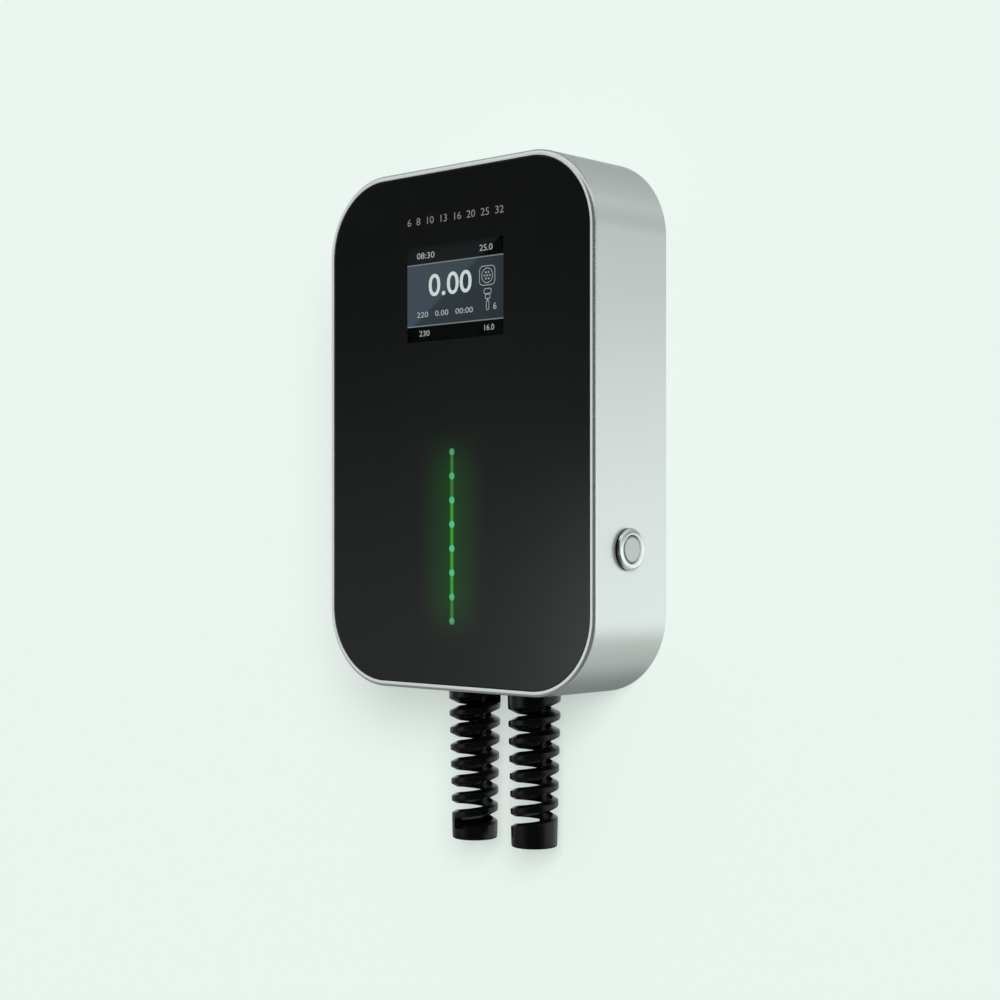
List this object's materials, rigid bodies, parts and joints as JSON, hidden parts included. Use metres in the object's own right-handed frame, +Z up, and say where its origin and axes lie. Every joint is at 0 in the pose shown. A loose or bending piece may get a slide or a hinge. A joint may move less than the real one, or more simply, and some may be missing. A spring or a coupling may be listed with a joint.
{
  "type": "ev wallbox",
  "caption": "Wall-hung electric car charging box with a flush black glass front, display, vertical light line, side push button and spiral cable glands underneath.",
  "frame": {"origin": "middle of the wall plane that the back of the box lies on, at the centre of the housing's width and height", "axes": "+X to the right as the box is seen, towards the push button; +Y towards the wall; +Z up; the glass faces -Y"},
  "size_m": [0.2388, 0.071, 0.4422],
  "materials": {
    "housing_silver": "satin",
    "glass_black": "gloss",
    "foam_tape": "matte",
    "moulded_black": "matte",
    "lcd_dark": "gloss",
    "circuit_board": "satin",
    "screw_steel": "satin",
    "guide_green": "gloss",
    "led_pale": "satin",
    "chassis_zinc": "satin",
    "standoff_brass": "satin",
    "potted_black": "matte",
    "contactor_grey": "matte",
    "seal_rubber": "matte",
    "cover_black": "fine texture",
    "bracket_zinc": "satin",
    "button_metal": "bright",
    "cap_metal": "brushed",
    "gland_black": "semi-gloss"
  },
  "bodies": {
    "box": {"housing": "housing_silver", "front_glass": "glass_black", "glass_tape": "foam_tape", "display_frame": "moulded_black", "lcd_panel": "lcd_dark", "display_board": "circuit_board", "display_screws": "screw_steel", "light_guide": "guide_green", "led_board": "circuit_board", "led_chips": "led_pale", "led_screws": "screw_steel", "chassis_plate": "chassis_zinc", "chassis_screws": "screw_steel", "main_board": "circuit_board", "board_standoffs": "standoff_brass", "board_screws": "screw_steel", "power_supply": "potted_black", "contactor": "contactor_grey", "leakage_sensor": "moulded_black", "supply_terminals": "contactor_grey", "lead_terminals": "contactor_grey", "terminal_screws": "screw_steel", "earth_stud": "standoff_brass", "rear_gasket": "seal_rubber", "rear_cover": "cover_black", "rear_cover_screws": "screw_steel", "wall_bracket": "bracket_zinc", "button_bezel": "button_metal", "button_spring": "screw_steel", "button_seal": "seal_rubber", "button_nut": "standoff_brass", "button_switch": "moulded_black", "supply_spiral_gland": "gland_black", "supply_gland_washer": "seal_rubber", "supply_gland_locknut": "gland_black", "supply_cable_seal": "seal_rubber", "lead_spiral_gland": "gland_black", "lead_gland_washer": "seal_rubber", "lead_gland_locknut": "gland_black", "lead_cable_seal": "seal_rubber"},
    "button": {"button_cap": "cap_metal", "button_clip": "screw_steel"}
  },
  "joints": [
    {"name": "button_press", "type": "slide", "parent": "box", "child": "button", "axis": [-1, 0, 0], "range_m": [0, 0.002], "stiffness_N_per_m": 600, "springref_m": -0.002, "deforming": ["button_spring"]}
  ]
}
